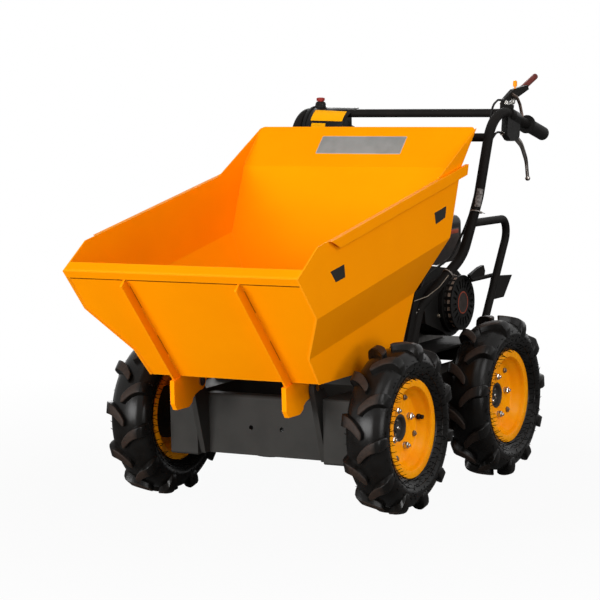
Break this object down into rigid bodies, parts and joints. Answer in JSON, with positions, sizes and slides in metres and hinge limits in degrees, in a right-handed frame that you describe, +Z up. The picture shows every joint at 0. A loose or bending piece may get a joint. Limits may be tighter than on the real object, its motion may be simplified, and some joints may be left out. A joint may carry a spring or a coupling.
{
  "type": "walk-behind site dumper",
  "caption": "Walk-behind mini dumper: tipping skip over a low chassis on four lugged wheels, with an open engine and handlebars behind.",
  "frame": {"origin": "on the floor, midway between the axles and in the middle of the track, which is the middle of the length and width", "axes": "+Z up, -Y the way it drives and tips, +X its left side"},
  "size_m": [0.766, 1.432, 1.0187],
  "materials": {
    "orange_paint": "semi-gloss powder coat",
    "tyre_rubber": "matt",
    "dark_steel": "zinc plated, darkened",
    "black_paint": "semi-gloss powder coat",
    "grey_paint": "satin powder coat",
    "cast_aluminium": "as cast",
    "black_plastic": "matt moulded",
    "black_rubber": "matt",
    "bright_lever": "polished",
    "red_plastic": "satin",
    "orange_plastic": "gloss"
  },
  "bodies": {
    "chassis": {"side_cases": "grey_paint", "front_plate": "grey_paint", "rear_plate": "grey_paint", "frame_rails": "grey_paint", "rest_pads": "black_rubber", "engine_deck": "grey_paint", "gearbox": "grey_paint", "hinge_brackets": "grey_paint", "hinge_pins": "dark_steel", "crankcase": "cast_aluminium", "cylinder": "cast_aluminium", "fan_housing": "black_paint", "recoil_cover": "black_plastic", "fuel_tank": "black_paint", "carburettor": "cast_aluminium", "air_filter": "black_plastic", "muffler": "black_paint", "belt_guard": "black_plastic", "handle_left": "black_paint", "handle_right": "black_paint", "crossbars": "black_paint", "guard_left": "black_paint", "guard_right": "black_paint", "grips": "black_rubber", "lever_housings": "black_plastic", "steering_levers": "bright_lever", "clutch_lever": "black_paint", "clutch_grip": "red_plastic", "throttle": "orange_plastic", "console": "black_plastic", "console_knob": "red_plastic", "cables": "black_rubber", "shift_linkage": "dark_steel"},
    "skip": {"skip_front": "orange_paint", "skip_floor": "orange_paint", "skip_back": "orange_paint", "skip_sides": "orange_paint", "skip_strips": "orange_paint", "skip_ribs": "orange_paint"},
    "wheel_front_left": {"tyre_front_left": "tyre_rubber", "rim_front_left": "orange_paint", "hub_front_left": "dark_steel"},
    "wheel_front_right": {"tyre_front_right": "tyre_rubber", "rim_front_right": "orange_paint", "hub_front_right": "dark_steel"},
    "wheel_rear_left": {"tyre_rear_left": "tyre_rubber", "rim_rear_left": "orange_paint", "hub_rear_left": "dark_steel"},
    "wheel_rear_right": {"tyre_rear_right": "tyre_rubber", "rim_rear_right": "orange_paint", "hub_rear_right": "dark_steel"}
  },
  "joints": [
    {"name": "skip_tip", "type": "hinge", "parent": "chassis", "child": "skip", "pos_m": [0, -0.39, 0.31], "axis": [1, 0, 0], "range_deg": [0, 80]},
    {"name": "wheel_front_left_spin", "type": "hinge", "parent": "chassis", "child": "wheel_front_left", "pos_m": [0.328, -0.271, 0.206], "axis": [1, 0, 0], "continuous": true},
    {"name": "wheel_front_right_spin", "type": "hinge", "parent": "chassis", "child": "wheel_front_right", "pos_m": [-0.328, -0.271, 0.206], "axis": [1, 0, 0], "continuous": true},
    {"name": "wheel_rear_left_spin", "type": "hinge", "parent": "chassis", "child": "wheel_rear_left", "pos_m": [0.328, 0.271, 0.206], "axis": [1, 0, 0], "continuous": true},
    {"name": "wheel_rear_right_spin", "type": "hinge", "parent": "chassis", "child": "wheel_rear_right", "pos_m": [-0.328, 0.271, 0.206], "axis": [1, 0, 0], "continuous": true}
  ]
}
